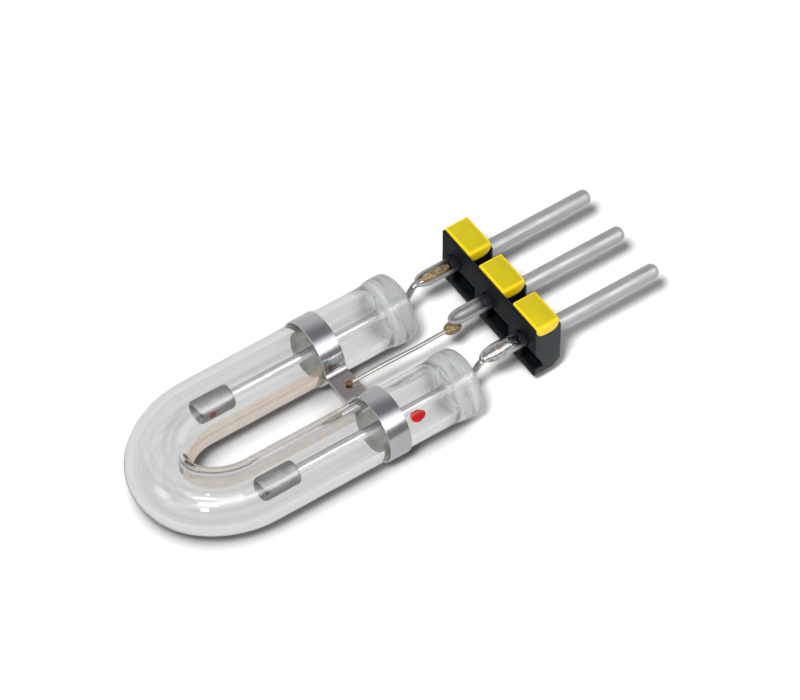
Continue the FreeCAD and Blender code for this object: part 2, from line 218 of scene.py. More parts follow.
def skin(name, grids, sharp=35.0, attributes=None, rows_wrap=False, hollow=()):
    """One mesh from closed grids of points.

    Each grid is rows x columns x 3. Its columns wrap, and its rows do where rows_wrap says so.
    Every cell of the grid is a face. The signed volume of each grid, the sum over its faces of
    the corner products, tells which way its faces look; it's turned to be positive, or negative
    where the grid's number is in hollow. Rings of no size close into poles.
    """
    points, faces, start = [], [], 0
    for number, grid in enumerate(grids):
        rows, columns = grid.shape[:2]
        index = np.arange(rows * columns).reshape(rows, columns)
        below = np.roll(index, -1, axis=0)
        if not rows_wrap:
            index, below = index[:-1], below[:-1]
        cells = np.stack([index, np.roll(index, -1, axis=1), np.roll(below, -1, axis=1), below], axis=-1)
        cells = cells.reshape(-1, 4)
        flat = grid.reshape(-1, 3)
        corners = flat[cells]
        volume = np.einsum("ij,ij->", corners[:, 0], np.cross(corners[:, 1], corners[:, 2]))
        volume += np.einsum("ij,ij->", corners[:, 0], np.cross(corners[:, 2], corners[:, 3]))
        if (volume < 0) != (number in hollow):
            cells = cells[:, ::-1]
        points.append(flat)
        faces.append(cells + start)
        start += len(flat)
    mesh = bpy.data.meshes.new(name)
    mesh.from_pydata(np.concatenate(points).tolist(), [], np.concatenate(faces).tolist())
    for label, values in (attributes or {}).items():
        layer = mesh.attributes.new(label, "FLOAT", "POINT")
        layer.data.foreach_set("value", np.ascontiguousarray(values, dtype=np.float32).ravel())
    merged(mesh, 1e-7)
    mesh.set_sharp_from_angle(angle=math.radians(sharp))
    mesh.update()
    return new_object(name, mesh)


def merged(mesh, gap, flat=False):
    """Merges the points of a mesh within a gap, then drops faces of no area, or joins flat ones."""
    work = bmesh.new()
    work.from_mesh(mesh)
    bmesh.ops.remove_doubles(work, verts=work.verts, dist=gap)
    if flat:
        bmesh.ops.dissolve_limit(work, angle_limit=math.radians(1.0), verts=work.verts, edges=work.edges)
    else:
        bmesh.ops.dissolve_degenerate(work, dist=1e-8, edges=work.edges)
    work.to_mesh(mesh)
    work.free()
    mesh.shade_smooth()


def cad_copy(name, node, bevel, segments=2):
    """A copy of a node's mesh, merged into one skin, with its sharp edges rounded."""
    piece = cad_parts[node].copy()
    piece.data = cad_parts[node].data.copy()
    piece.name = name
    piece.parent = None
    piece.data.materials.clear()
    for key in list(piece.keys()):
        del piece[key]
    bpy.context.scene.collection.objects.link(piece)
    merged(piece.data, 1e-6, True)
    rounding = piece.modifiers.new("rounding", "BEVEL")
    rounding.width = bevel
    rounding.segments = segments
    rounding.limit_method = "ANGLE"
    rounding.angle_limit = math.radians(40)
    rounding.harden_normals = False
    apply_modifiers(piece)
    piece.data.set_sharp_from_angle(angle=math.radians(30))
    return piece


def apply_modifiers(piece):
    """Writes a piece's modifiers into its mesh."""
    depsgraph = bpy.context.evaluated_depsgraph_get()
    mesh = bpy.data.meshes.new_from_object(piece.evaluated_get(depsgraph))
    piece.modifiers.clear()
    piece.data = mesh


def finish_piece(piece, material, slot, *nodes):
    """Gives a piece its finish and its place in the frame."""
    piece.data.materials.clear()
    piece.data.materials.append(material)
    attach(piece, "root")
    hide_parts(*nodes)


# Curves and profiles

def arc(centre, radius, start, end, count):
    """Points of a circle's arc, count of them, from the start angle to the end angle."""
    return np.array(centre) + radius * circle(np.linspace(start, end, count))


def rounded_line(corners, radii, steps=6):
    """A polyline whose inner corners are arcs of the given radii, tangent to both sides."""
    corners = np.asarray(corners, float)
    pieces = [corners[:1]]
    for before, corner, after, radius in zip(corners, corners[1:], corners[2:], radii):
        arrive, leave = unit(corner - before), unit(after - corner)
        cross = arrive[0] * leave[1] - arrive[1] * leave[0]
        turn = math.atan2(cross, float(arrive @ leave))
        start = corner - arrive * radius * math.tan(abs(turn) / 2)
        left = np.array([-arrive[1], arrive[0]]) * math.copysign(1.0, turn)
        centre = start + left * radius
        first = math.atan2(*(start - centre)[::-1])
        pieces.append(arc(centre, radius, first, first + turn, steps))
    pieces.append(corners[-1:])
    return np.concatenate(pieces)


def bar_profile(low, high, radius, edges, steps=6):
    """The (x, radius) profile of a round bar with both edges rounded."""
    return rounded_line([(low, 0), (low, radius), (high, radius), (high, 0)], edges, steps)


def filled(profile, low, high, radius, count):
    """A profile with count points more on its body, from low to high."""
    split = int(np.argmax(profile[:, 0] > high))
    body = stacked(np.linspace(low, high, count), radius)
    return np.concatenate([profile[:split], body, profile[split:]])


def turned(profile, y, z, columns=48):
    """A profile of (x, radius) points turned about the line through y and z, along X."""
    angle = full_turn(columns)
    x, radius = profile[:, :1], profile[:, 1:]
    return stacked(x, y + radius * np.cos(angle), z + radius * np.sin(angle))


def carried(path, across, up, section):
    """A section carried along a path: point = path + s1 * across + s2 * up.

    path has a row for each ring, and so may across, up and section, which is columns x 2.
    """
    section = np.broadcast_to(section, (len(path),) + section.shape[-2:])
    return path[:, None] + section[..., :1] * across[:, None] + section[..., 1:] * up[:, None]


def u_line(glass, leg_count=60, bend_count=160):
    """The glass tube's centreline, and its outward side vectors, from the far leg round to the near one.

    Its curvature is nothing on the legs, 1 / side radius on the side arcs and 1 / crown radius on
    the crown, blended over a short run so that reflections flow. The heading is the running sum
    of the curvature, and the place is the running sum of the heading's cosine and sine.
    """
    turn = glass.side_turn
    crown = glass.crown_radius
    side = (LEG_Y - crown * math.cos(turn)) / (1 - math.cos(turn))
    margin = 1.5 * MM
    total = 2 * side * turn + crown * (math.pi - 2 * turn) + 2 * margin
    travel = np.linspace(0, total, 4001)
    step = travel[1]
    off_side = np.abs(travel - total / 2)
    curvature = np.where(off_side < crown * (math.pi / 2 - turn), 1 / crown, 1 / side)
    curvature = np.where(off_side > total / 2 - margin, 0.0, curvature)
    blend = np.hanning(int(2 * margin / step))
    curvature = np.convolve(curvature, blend / blend.sum(), mode="same")
    heading = math.pi + np.cumsum(curvature) * math.pi / curvature.sum()
    x = np.cumsum(np.cos(heading)) * step
    y = np.cumsum(np.sin(heading)) * step
    y = LEG_Y + y * 2 * LEG_Y / -y[-1]
    x += FRONT_X + glass.tube_radius - x.min()
    pick = np.linspace(0, len(x) - 1, bend_count).astype(int)
    leg_end = GLASS_END_X - glass.swell_length
    leg = np.linspace(leg_end, x[0], leg_count, endpoint=False)
    back = np.linspace(x[-1], leg_end, leg_count + 1)[1:]
    px = np.concatenate([leg, x[pick], back])
    py = np.concatenate([np.full(leg_count, LEG_Y), y[pick], np.full(leg_count, -LEG_Y)])
    hx = np.concatenate([np.full(leg_count, math.pi), heading[pick], np.full(leg_count, 2 * math.pi)])
    return stacked(px, py, TUBE_Z), stacked(np.sin(hx), -np.cos(hx), 0.0)


def ends_of_u(profile):
    """Rings of an end profile of (offset from the glass's end, radius), for both ends of the U.

    Returns the far end's rings from its pole inwards, and the near end's from the leg outwards.
    """
    near = stacked(GLASS_END_X + profile[:, 0], -LEG_Y, TUBE_Z)
    return (near * [1, -1, 1])[::-1], near


def u_skin(glass, radius, profile, columns, ripple):
    """Rings of one radius round the whole U, closed by the same profile at both ends.

    point = ring centre + r * (cos(a) * outward + sin(a) * up), with r rippled by a few parts in a
    thousand: slow sines along the tube and round it. Also returns cos(a), sin(a) and the run along
    the tube at each point.
    """
    path, outward = u_line(glass)
    far, near = ends_of_u(profile)
    centres = np.concatenate([far, path[1:-1], near])
    sides = np.concatenate([np.tile(outward[:1], (len(far), 1)), outward[1:-1],
                            np.tile(outward[-1:], (len(near), 1))])
    radii = np.concatenate([profile[::-1, 1], np.full(len(path) - 2, radius), profile[:, 1]])
    angle = full_turn(columns)
    run = np.concatenate([[0], np.cumsum(np.linalg.norm(np.diff(centres, axis=0), axis=1))]) / MM
    run = run[:, None]
    wave = ripple * (np.sin(0.55 * run + 2 * angle) + 0.6 * np.sin(1.3 * run - angle + 1.0))
    rings = radii[:, None] * (1 - ripple * 1.6 + wave)
    grid = carried(centres, sides, UP, rings[..., None] * circle(angle))
    return grid, np.broadcast_arrays(np.cos(angle), np.sin(angle), run)


# Node helpers

def add_node(tree, kind, inputs=None, **attributes):
    """A shader node of a kind, with its attributes set and its inputs set or linked."""
    made = tree.nodes.new("ShaderNode" + kind)
    for key, value in attributes.items():
        setattr(made, key, value)
    for key, value in (inputs or {}).items():
        socket = made.inputs[key]
        if isinstance(value, bpy.types.NodeSocket):
            tree.links.new(value, socket)
        else:
            socket.default_value = value
    return made


def blank_material(name):
    """A material with nothing in its node tree but its output, and that tree."""
    material = bpy.data.materials.new(name)
    material.use_nodes = True
    tree = material.node_tree
    tree.nodes.clear()
    tree.nodes.new("ShaderNodeOutputMaterial")
    return material, tree


def surfaced(material, shader):
    """The material, with a shader linked to its output."""
    tree = material.node_tree
    tree.links.new(shader.outputs[0], tree.nodes["Material Output"].inputs["Surface"])
    return material


def mix_shaders(tree, factor, first, second):
    """A mix of two shaders: all of the first at 0, all of the second at 1."""
    return add_node(tree, "MixShader", {0: factor, 1: first.outputs[0], 2: second.outputs[0]})


def axes(tree, places=None):
    """The X, Y and Z of a place, by default of the Object coordinates."""
    return add_node(tree, "SeparateXYZ", {0: places or object_places(tree)}).outputs


def object_places(tree, stretch=(1.0, 1.0, 1.0)):
    """Object coordinates, stretched along each axis."""
    coordinates = add_node(tree, "TexCoord").outputs["Object"]
    return add_node(tree, "Mapping", {"Vector": coordinates, "Scale": stretch}).outputs["Vector"]


def noise(tree, places, scale, detail=3.0, roughness=0.55):
    """A noise value from 0 to 1; scale is in waves for each metre."""
    return add_node(tree, "TexNoise", {"Vector": places, "Scale": scale, "Detail": detail,
                                       "Roughness": roughness}).outputs["Fac"]


def attribute(tree, name):
    """The value of a mesh attribute."""
    return add_node(tree, "Attribute", attribute_name=name).outputs["Fac"]


def ramp(tree, value, low, high, start=0.0, end=1.0):
    """value from start to end mapped to low to high, with an eased start and end."""
    return add_node(tree, "MapRange", {
        "Value": value, "From Min": start, "From Max": end, "To Min": low, "To Max": high},
        interpolation_type="SMOOTHSTEP").outputs["Result"]


def math_node(tree, operation, first, second=0.0):
    """A Math node's result."""
    return add_node(tree, "Math", {0: first, 1: second}, operation=operation).outputs["Value"]


def times(tree, first, second):
    """A product."""
    return math_node(tree, "MULTIPLY", first, second)


def minus(tree, first, second):
    """A difference."""
    return math_node(tree, "SUBTRACT", first, second)


def least_gap(tree, *pairs):
    """The least of the differences of some pairs."""
    least = minus(tree, *pairs[0])
    for pair in pairs[1:]:
        least = math_node(tree, "MINIMUM", least, minus(tree, *pair))
    return least


def mix_colour(tree, factor, first, second):
    """A mix of two colours."""
    made = add_node(tree, "Mix", data_type="RGBA")
    for key, value in ((0, factor), (6, first), (7, second)):
        if isinstance(value, bpy.types.NodeSocket):
            tree.links.new(value, made.inputs[key])
        elif key:
            made.inputs[key].default_value = (*value, 1.0)
        else:
            made.inputs[key].default_value = value
    return made.outputs[2]


def blended(tree, value, start, end, first, second):
    """A colour that goes from the first to the second as a value goes from start to end."""
    return mix_colour(tree, ramp(tree, value, 0.0, 1.0, start, end), first, second)


def principled(tree, colour, roughness, **more):
    """A Principled shader."""
    return add_node(tree, "BsdfPrincipled", {"Base Color": colour, "Roughness": roughness, **more})


def bump(tree, height, distance, strength=1.0):
    """A bumped normal from a height."""
    return add_node(tree, "Bump", {"Height": height, "Distance": distance,
                                   "Strength": strength}).outputs["Normal"]


def near_point(tree, places, centre, inner, outer):
    """1 within the inner distance of a point, fading to 0 at the outer distance."""
    gap = add_node(tree, "VectorMath", {0: places, 1: centre}, operation="DISTANCE")
    return ramp(tree, gap.outputs["Value"], 1.0, 0.0, inner, outer)


# Materials

def glass_material(colours):
    """Clear glass with a faint tint and streaks drawn along it, milky on the outside of its sealed ends.

    It lets half of the lamp's light through. The streaks are noise over the place round the tube
    and the run along it, and the sealed ends have rings round them from the flame.
    """
    material, tree = blank_material("clear_glass")
    streaks_round, streaks_along = 5.0, 0.02
    drawn = [times(tree, attribute(tree, label), scale)
             for label, scale in zip(DRAWN, (streaks_round, streaks_round, streaks_along))]
    drawn = add_node(tree, "CombineXYZ", dict(enumerate(drawn))).outputs["Vector"]
    streaks = noise(tree, drawn, 1.0, 2.0)
    darker = tuple(value * 0.90 for value in colours.glass)
    tint = blended(tree, streaks, 0.38, 0.62, darker, colours.glass)
    glass = principled(tree, tint, 0.0, IOR=GLASS_IOR, Normal=bump(tree, streaks, 0.02 * MM, 0.3),
                       **{"Transmission Weight": 1.0})
    rings = noise(tree, object_places(tree, (1.0, 0.05, 0.05)), 1300.0, 2.0)
    milk_tone = blended(tree, rings, 0.40, 0.60, (0.37, 0.38, 0.385), (0.58, 0.59, 0.59))
    milk = principled(tree, milk_tone, 0.18, IOR=GLASS_IOR)
    milk_start, milk_full = GLASS_END_X - 4.8 * MM, GLASS_END_X - 2.6 * MM
    sealed = ramp(tree, axes(tree)["X"], 0.0, 0.50, milk_start, milk_full)
    glass = mix_shaders(tree, times(tree, sealed, attribute(tree, "outside")), glass, milk)
    clear = add_node(tree, "BsdfTransparent", {"Color": (0.50, 0.505, 0.505, 1.0)})
    path = add_node(tree, "LightPath").outputs
    passing = math_node(tree, "MAXIMUM", path["Is Shadow Ray"], path["Is Diffuse Ray"])
    return surfaced(material, mix_shaders(tree, passing, glass, clear))


def stripe_material(colours):
    """A thin peach coat that the light passes, thinner at its edges and a little uneven."""
    material, tree = blank_material("peach_coat")
    edge = ramp(tree, math_node(tree, "ABSOLUTE", attribute(tree, "across")), 1.0, 0.0, 0.72, 1.0)
    patches = ramp(tree, noise(tree, object_places(tree), 700.0), 0.75, 1.1, 0.3, 0.7)
    most_cover = 0.16
    cover = times(tree, times(tree, edge, patches), most_cover)
    front, behind = [add_node(tree, kind, {"Color": (*colours.stripe, 1.0)})
                     for kind in ("BsdfDiffuse", "BsdfTranslucent")]
    clear = add_node(tree, "BsdfTransparent", {"Color": (1.0, 0.953, 0.908, 1.0)})
    return surfaced(material, mix_shaders(tree, cover, clear, mix_shaders(tree, 0.5, front, behind)))


def metal_material(name, base, roughness, stretch, scale, grain, tint=None):
    """Metal with drawn or rolled grain: noise stretched along the grain drives roughness and bump.

    tint is (colour, factor socket maker) for a mark over part of it, such as the band's heat stain and the
    painted shade where the contacts enter the block.
    """
    material, tree = blank_material(name)
    places = object_places(tree, stretch)
    streaks = noise(tree, places, scale)
    clouds = noise(tree, object_places(tree), scale * 0.35, 2.0)
    darker = tuple(value * 0.82 for value in base)
    tone = blended(tree, clouds, 0.3, 0.7, darker, base)
    if tint:
        tone = mix_colour(tree, tint[1](tree), tone, tint[0])
    rough = ramp(tree, streaks, roughness * 0.8, roughness * 1.25, 0.3, 0.7)
    return surfaced(material, principled(tree, tone, rough, Metallic=1.0, Normal=bump(tree, streaks, grain)))


def moulding_material(name, base, lighter, roughness, grain, painted_shade=None, rim=None):
    """Moulded plastic: a fine spark-eroded grain, and faint flow clouds in its tone and gloss.

    painted_shade makes a factor from the node tree that darkens the deep places with painted shade.
    rim makes one for the thin edges, which the light comes through.
    """
    material, tree = blank_material(name)
    places = object_places(tree)
    fine = noise(tree, places, 9000.0, 2.0)
    clouds = noise(tree, places, 450.0, 3.0)
    tone = blended(tree, clouds, 0.35, 0.75, base, lighter)
    if rim:
        lit_edge = (0.86, 0.60, 0.004)
        tone = mix_colour(tree, rim(tree), tone, lit_edge)
    rough = ramp(tree, clouds, roughness, roughness * 1.3, 0.3, 0.7)
    shader = principled(tree, tone, rough, IOR=1.52, Normal=bump(tree, fine, grain))
    if painted_shade:
        # Painted shade: a near-black matt shader laid over the block's recesses, front face and contact roots
        shade_black = add_node(tree, "BsdfDiffuse", {"Color": (0.003, 0.004, 0.005, 1.0)})
        shader = mix_shaders(tree, painted_shade(tree), shader, shade_black)
    return surfaced(material, shader)


def paint_material(colours):
    """Glossy red lacquer, a little cloudy."""
    material, tree = blank_material("red_lacquer")
    clouds = noise(tree, object_places(tree), 1500.0)
    dark = tuple(value * 0.6 for value in colours.spot)
    tone = blended(tree, clouds, 0.3, 0.6, dark, colours.spot)
    return surfaced(material, principled(tree, tone, 0.22, IOR=1.5, Normal=bump(tree, clouds, 0.02 * MM)))


def electrode_material(spots):
    """Matt sintered metal with a fine grain, and a mark for each (colour, centre, radius)."""
    material, tree = blank_material("sintered_metal")
    places = object_places(tree)
    fine = noise(tree, places, 9000.0, 2.0)
    clouds = noise(tree, places, 900.0)
    tone = blended(tree, clouds, 0.3, 0.7, (0.275, 0.27, 0.265), (0.345, 0.34, 0.335))
    for mark, centre, radius in spots:
        tone = mix_colour(tree, near_point(tree, places, centre, radius * 0.5, radius), tone, mark)
    rough = ramp(tree, clouds, 0.42, 0.54, 0.3, 0.7)
    return surfaced(material, principled(tree, tone, rough, Metallic=0.9, Normal=bump(tree, fine, 0.01 * MM)))


def solder_material(name, colours, flux_low, flux_high):
    """Bright solder under patches of brown flux; a low threshold leaves it nearly all stained."""
    material, tree = blank_material(name)
    places = object_places(tree)
    patches = noise(tree, places, 1300.0, 3.0)
    fine = noise(tree, places, 4200.0, 2.0)
    stained = ramp(tree, patches, 0.0, 1.0, flux_low, flux_high)
    flux = blended(tree, fine, 0.35, 0.65, colours.flux, (0.25, 0.20, 0.11))
    specks = ramp(tree, noise(tree, places, 6500.0, 2.0), 0.0, 0.8, 0.56, 0.64)
    tin = mix_colour(tree, specks, (0.66, 0.66, 0.67), (0.08, 0.075, 0.07))
    tone = mix_colour(tree, stained, tin, flux)
    shader = principled(tree, tone, ramp(tree, stained, 0.24, 0.40),
                        Metallic=ramp(tree, stained, 1.0, 0.15), Normal=bump(tree, fine, 0.03 * MM))
    return surfaced(material, shader)


# Pieces

class FLASH_OT_glass(Operator):
    """The bent glass tube with its swollen ends, fused round the rods by a glass bead in each leg"""
    bl_idname = "flash.glass"
    bl_label = "Glass tube"

    def execute(self, context):
        glass, colours = settings("glass", "colours")
        full = glass.tube_radius + glass.swell
        bore = glass.bore_radius
        neck_radius = glass.bead_neck
        start = -glass.swell_length
        run = np.linspace(0, 1, 14)
        rise = stacked(start + run * glass.swell_run,
                       glass.tube_radius + glass.swell * (1 - np.cos(math.pi * run)) / 2)
        nipple = 0.05 * MM
        lip = rounded_line([
            (start + glass.swell_run + 0.1 * MM, full), (0, full), (0, bore + 0.1 * MM),
            (-glass.bead_setback, bore - 0.15 * MM), (-glass.bead_setback, neck_radius + 0.1 * MM),
            (nipple, neck_radius - 0.3 * MM), (nipple, 0)],
            [glass.lip_round, 0.2 * MM, 0.22 * MM, 0.3 * MM, 0.2 * MM], 10)
        outer = np.concatenate([rise, lip])
        disc = -glass.bead_setback - glass.bead_disc
        neck = disc - glass.bead_hollow
        tip = neck - glass.bead_neck_length
        inner = rounded_line([
            (start, bore), (disc, bore), (neck + 0.35 * MM, neck_radius + 0.5 * MM),
            (neck - 0.1 * MM, neck_radius), (tip, neck_radius - 0.15 * MM), (tip, 0)],
            [0.55 * MM, 0.5 * MM, 0.35 * MM, 0.3 * MM], 10)
        columns, outer_ripple, inner_ripple = 96, 0.0012, 0.0020
        outside, outer_places = u_skin(glass, glass.tube_radius, outer, columns, outer_ripple)
        inside, inner_places = u_skin(glass, bore, inner, columns, inner_ripple)
        values = {label: np.concatenate([first.ravel(), second.ravel()])
                  for label, first, second in zip(DRAWN, outer_places, inner_places)}
        values["outside"] = np.repeat([1.0, 0.0], [outside[..., 0].size, inside[..., 0].size])
        piece = skin("glass_tube", [outside, inside], 60.0, values, hollow=[1])
        finish_piece(piece, glass_material(colours), "tube_glass",
                     "glass_envelope", "seal_bead_anode", "seal_bead_cathode")
        return {"FINISHED"}


class FLASH_OT_stripe(Operator):
    """The peach conductive coat on the side of the glass that faces into the U"""
    bl_idname = "flash.stripe"
    bl_label = "Conductive stripe"

    half_angle: angle_in_degrees("Half angle", "Half of the arc that the coat covers", 25)

    def execute(self, context):
        glass, colours = settings("glass", "colours")
        path, outward = u_line(glass)
        keep = path[:, 0] < BAND_X[0] - 0.02 * MM
        path, outward = path[keep], outward[keep]
        angle = np.linspace(-self.half_angle, self.half_angle, 17)
        above, below = glass.tube_radius + 0.03 * MM, glass.tube_radius - 0.04 * MM
        line = circle(angle) * [-1, 1]
        section = np.concatenate([above * line, (below * line)[::-1]])
        across = np.concatenate([angle, angle[::-1]]) / self.half_angle
        closed = np.broadcast_to(section.mean(axis=0), section.shape)
        first, last = [carried(path[[i]], outward[[i]], UP, closed) for i in (0, -1)]
        grid = np.concatenate([first, carried(path, outward, UP, section), last])
        values = np.tile(across, (len(grid), 1))
        piece = skin("conductive_stripe", [grid], 60.0, {"across": values})
        finish_piece(piece, stripe_material(colours), "conductive_coat", "trigger_stripe")
        return {"FINISHED"}


class FLASH_OT_electrodes(Operator):
    """The tungsten rods and the fat electrode heads crimped on them"""
    bl_idname = "flash.electrodes"
    bl_label = "Electrodes"

    def execute(self, context):
        metal, = settings("metal")
        rod_metal = metal_material("drawn_tungsten", (0.70, 0.70, 0.72), 0.24, (1, 14, 14), 300.0, 0.002 * MM)
        spots = []
        for name, side in SIDES.items():
            y = side * LEG_Y
            profile = bar_profile(*extent("rod_" + name, 0), metal.rod_radius, [0.08 * MM] * 2)
            rod = skin("rod_%s_turned" % name, [turned(profile, y, TUBE_Z)])
            finish_piece(rod, rod_metal, "tungsten", "rod_" + name)
            front = extent("electrode_" + name, 0)[0]
            place = (front + 0.15 * MM, y - 1.15 * MM, TUBE_Z + 0.75 * MM)
            spots.append(((0.03, 0.03, 0.04), place, 0.42 * MM))
        rust_place = (front + 1.5 * MM, LEG_Y - 1.35 * MM, TUBE_Z + 0.2 * MM)
        spots.append(((0.22, 0.075, 0.03), rust_place, 0.62 * MM))
        head_metal = electrode_material(spots)
        for name, side in SIDES.items():
            self.head(name, side * LEG_Y, metal, head_metal)
        return {"FINISHED"}

    def head(self, name, y, metal, head_metal):
        """A turned head: cupped front, two crimp dents behind. A dent takes depth * exp(-d^2) off."""
        front, back = extent("electrode_" + name, 0)
        radius = metal.sleeve_radius
        cup_radius, cup_depth = 0.85 * MM, 0.9 * MM
        corners = [(front + cup_depth, 0), (front + cup_depth, cup_radius), (front, cup_radius + 0.05 * MM),
                   (front, radius), (back, radius), (back, 0)]
        profile = rounded_line(corners, [0.15 * MM, 0.12 * MM, 0.4 * MM, 0.4 * MM], 8)
        profile = filled(profile, front + 0.5 * MM, back - 0.5 * MM, radius, 40)
        grid = turned(profile, y, TUBE_Z, 64)
        dent_x, dent_length, dent_angle, dent_depth = back - 1.1 * MM, 0.45 * MM, 0.33, 0.28
        offset = grid[..., 1:] - [y, TUBE_Z]
        angle = np.abs(np.arctan2(offset[..., 1], -offset[..., 0]))
        along = (grid[..., 0] - dent_x) / dent_length
        across = np.minimum(angle, np.pi - angle) / dent_angle
        dent = dent_depth * np.exp(-along ** 2 - across ** 2)
        outside = np.linalg.norm(offset, axis=-1) > radius * 0.95
        grid[..., 1:] = [y, TUBE_Z] + offset * np.where(outside, 1 - dent, 1.0)[..., None]
        finish_piece(skin("electrode_%s_head" % name, [grid]), head_metal, "electrode_metal",
                     "electrode_" + name)


class FLASH_OT_band(Operator):
    """The trigger band: one strip round both legs, pinched flat between them"""
    bl_idname = "flash.band"
    bl_label = "Trigger band"

    def contour(self, outer, waist, fillet):
        """The strip's outer face across the legs: ring arcs, fillets and the flat waist, in order."""
        reach = LEG_Y - math.sqrt((outer + fillet) ** 2 - (waist + fillet) ** 2)
        slope = math.asin((waist + fillet) / (outer + fillet))
        quarter = [
            stacked(np.linspace(0, reach, 12, endpoint=False), waist),
            arc((reach, waist + fillet), fillet, -math.pi / 2, -slope, 16)[:-1],
            arc((LEG_Y, 0), outer, math.pi - slope, 0, 90)[:-1],
        ]
        top = np.concatenate(quarter)
        far = np.concatenate([top, (top * [1, -1])[::-1][:-1]])
        edge = (far * [-1, 1])[::-1][:-1]
        return np.concatenate([far, edge[:-1]])

    def lining(self, material, reach):
        """Turns the strip's inner face matt and olive, a painted tone that stands in for the light it shows
        through the glass: the places closer to a leg's axis than reach.
        """
        tree = material.node_tree
        outside = tree.nodes["Material Output"].inputs["Surface"].links[0].from_node
        place = axes(tree)
        across = minus(tree, math_node(tree, "ABSOLUTE", place["Y"]), LEG_Y)
        height = minus(tree, place["Z"], TUBE_Z)
        squares = math_node(tree, "ADD", times(tree, across, across), times(tree, height, height))
        far = math_node(tree, "SQRT", squares)
        inner = ramp(tree, far, 0.8, 0.0, reach - 0.01 * MM, reach + 0.01 * MM)
        clouds = noise(tree, object_places(tree), 900.0)
        # Painted light: the inner face's own paler olive tone
        tone = mix_colour(tree, clouds, (0.56, 0.54, 0.46), (0.80, 0.77, 0.68))
        matt = principled(tree, tone, 0.6, Metallic=0.85)
        surfaced(material, mix_shaders(tree, inner, outside, matt))

    def execute(self, context):
        glass, metal = settings("glass", "metal")
        thickness = metal.band_thickness
        outer = glass.tube_radius + 0.05 * MM + thickness
        line = self.contour(outer, thickness, metal.band_fillet)
        inward = unit(np.roll(line, -1, axis=0) - np.roll(line, 1, axis=0))[:, ::-1] * [1, -1]
        area = np.sum(line[:, 0] * np.roll(line[:, 1], -1) - line[:, 1] * np.roll(line[:, 0], -1))
        inward *= -math.copysign(1.0, area)
        middle_x, half = sum(BAND_X) / 2, (BAND_X[1] - BAND_X[0]) / 2
        edge = 0.07 * MM
        deep = thickness - 0.005 * MM
        section = rounded_line([(0, 0), (half, 0), (half, deep), (-half, deep), (-half, 0), (0, 0)],
                               [edge] * 4, 5)[:-1]
        path = stacked(middle_x, line[:, 0], TUBE_Z + line[:, 1])
        grid = carried(path, ALONG, stacked(0.0, inward[:, 0], inward[:, 1]), section)
        piece = skin("trigger_band_strip", [grid], rows_wrap=True)
        weld_place = (BAND_X[1] - 1.1 * MM, 0.0, TUBE_Z + 0.4 * MM)

        def heat(tree):
            near = near_point(tree, object_places(tree), weld_place, 1.2 * MM, 3.4 * MM)
            return times(tree, near, 0.75)

        band_metal = metal_material("rolled_strip", (0.66, 0.665, 0.68), 0.17, (14, 1, 1), 260.0, 0.002 * MM,
                                    ((0.50, 0.43, 0.40), heat))
        self.lining(band_metal, glass.tube_radius + 0.09 * MM)
        finish_piece(piece, band_metal, "band_metal", "trigger_band")
        return {"FINISHED"}


class FLASH_OT_wires(Operator):
    """The trigger wire with its weld, and the leads from the sealed ends up into the cups"""
    bl_idname = "flash.wires"
    bl_label = "Wires"

    def execute(self, context):
        metal, = settings("metal")
        wire_metal = metal_material("bright_wire", (0.66, 0.62, 0.58), 0.30, (1, 8, 8), 500.0, 0.003 * MM)
        low, high = extent("trigger_wire", 0)
        wire_z = middle("trigger_wire").z
        radius = metal.wire_radius
        profile = bar_profile(low, high, radius, [0.06 * MM] * 2)
        profile = filled(profile, low + 0.1 * MM, high - 0.1 * MM, radius, 80)
        grid = turned(profile, 0.0, wire_z, 24)
        run = (profile[:, 0] - low) / (high - low)
        bow = 0.05 * MM
        grid[..., 1] += (bow * np.sin(2.2 * np.pi * run) * np.sin(np.pi * run))[:, None]
        finish_piece(skin("trigger_wire_run", [grid]), wire_metal, "wire_metal", "trigger_wire")
        self.weld()
        for name, side in SIDES.items():
            self.lead(name, side, metal, wire_metal)
        return {"FINISHED"}

    def weld(self):
        """A burnt nugget: an ellipsoid whose radius is lumped by a few sines."""
        grid = lump(middle("band_weld"), (0.40 * MM, 0.30 * MM, 0.25 * MM), 0.10, 3)
        burnt = metal_material("burnt_weld", (0.22, 0.13, 0.08), 0.6, (1, 1, 1), 3000.0, 0.02 * MM)
        finish_piece(skin("weld_nugget", [grid]), burnt, "weld_metal", "band_weld")

    def lead(self, name, side, metal, wire_metal):
        """A round wire along a line eased from the rod's end up to the cup's floor by smooth steps."""
        low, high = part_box("lead_" + name)
        radius = metal.lead_radius
        straight, eased = 0.15 * MM, 1.5 * MM
        run = np.linspace(0, 1, 48)
        x = low.x + run * (high.x - low.x)
        ease = np.clip((x - low.x - straight) / eased, 0, 1)
        ease = ease * ease * (3 - 2 * ease)
        y = side * (LEG_Y + (PITCH - LEG_Y) * ease)
        z = TUBE_Z + (high.z - radius - TUBE_Z) * ease
        path = stacked(x, y, z)
        tangent = unit(np.gradient(path, axis=0))
        across = unit(np.cross(UP, tangent))
        near_end = np.clip((np.abs(run - 0.5) - 0.49) / 0.01, 0, 1)
        sizes = radius * np.sqrt(np.clip(1 - near_end ** 2, 0, 1))
        section = sizes[:, None, None] * circle(full_turn(28))
        piece = skin("lead_%s_wire" % name, [carried(path, across, np.cross(tangent, across), section)])
        finish_piece(piece, wire_metal, "wire_metal", "lead_" + name)


